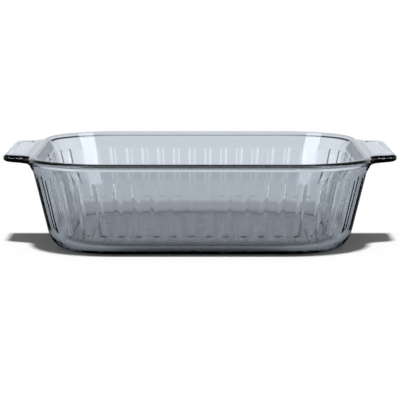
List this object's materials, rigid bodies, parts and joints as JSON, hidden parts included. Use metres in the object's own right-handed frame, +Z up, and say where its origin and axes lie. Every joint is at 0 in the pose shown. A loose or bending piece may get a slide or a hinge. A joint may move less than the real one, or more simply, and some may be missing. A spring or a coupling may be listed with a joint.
{
  "type": "square baking dish",
  "caption": "Square pressed-glass baking dish with rounded corners, fluted outer walls, a beaded rim and a flat handle on each side.",
  "frame": {"origin": "middle of the flat foot that the dish stands on", "axes": "+X through the middle of one handle, +Y across the dish between the handles, +Z up out of the open top"},
  "size_m": [0.2608, 0.224, 0.0603],
  "materials": {
    "glass": "smooth blue-grey tinted pressed glass"
  },
  "bodies": {
    "root": {"dish": "glass"}
  },
  "joints": []
}
